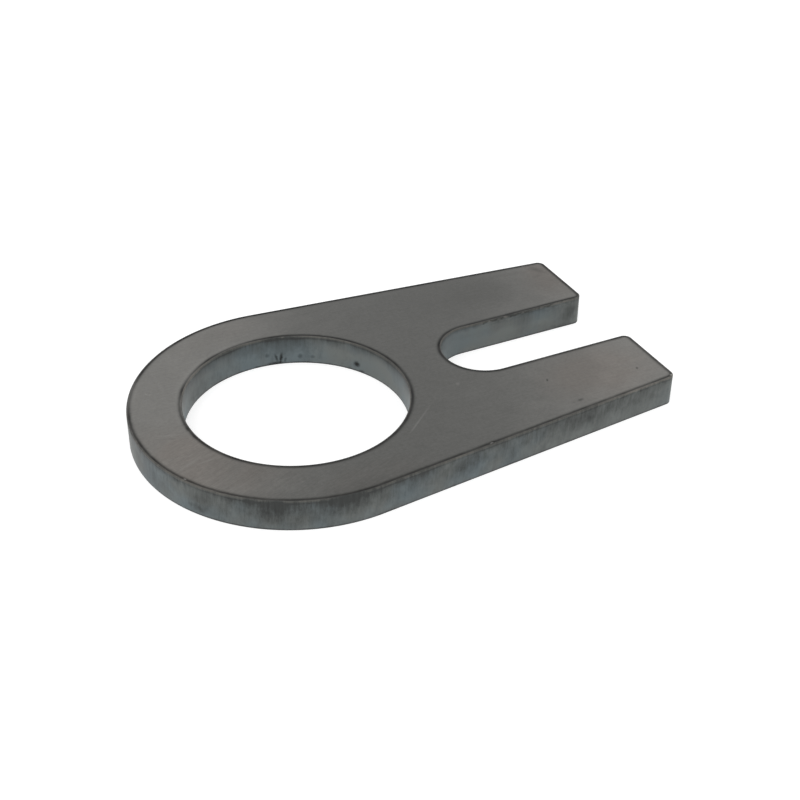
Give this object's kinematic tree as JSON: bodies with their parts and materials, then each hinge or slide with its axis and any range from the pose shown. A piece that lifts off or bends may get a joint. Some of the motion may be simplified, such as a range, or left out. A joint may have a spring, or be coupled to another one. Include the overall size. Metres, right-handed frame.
{
  "type": "tab lock washer",
  "caption": "Thick flat steel lock plate: a ring with a large bore that runs out into a fork of tapered tabs with a round-ended slot between them.",
  "frame": {"origin": "centre of the bore on the bottom face, the face that the plate lies on", "axes": "+X from the bore along the plate's centre line to the open end of the fork, +Y across the plate, +Z along the bore axis, out of the top face"},
  "size_m": [0.1588, 0.1, 0.01],
  "materials": {
    "plate_steel": "satin rolled faces, ribbed blue-grey cut walls"
  },
  "bodies": {
    "root": {"lock_plate": "plate_steel"}
  },
  "joints": []
}
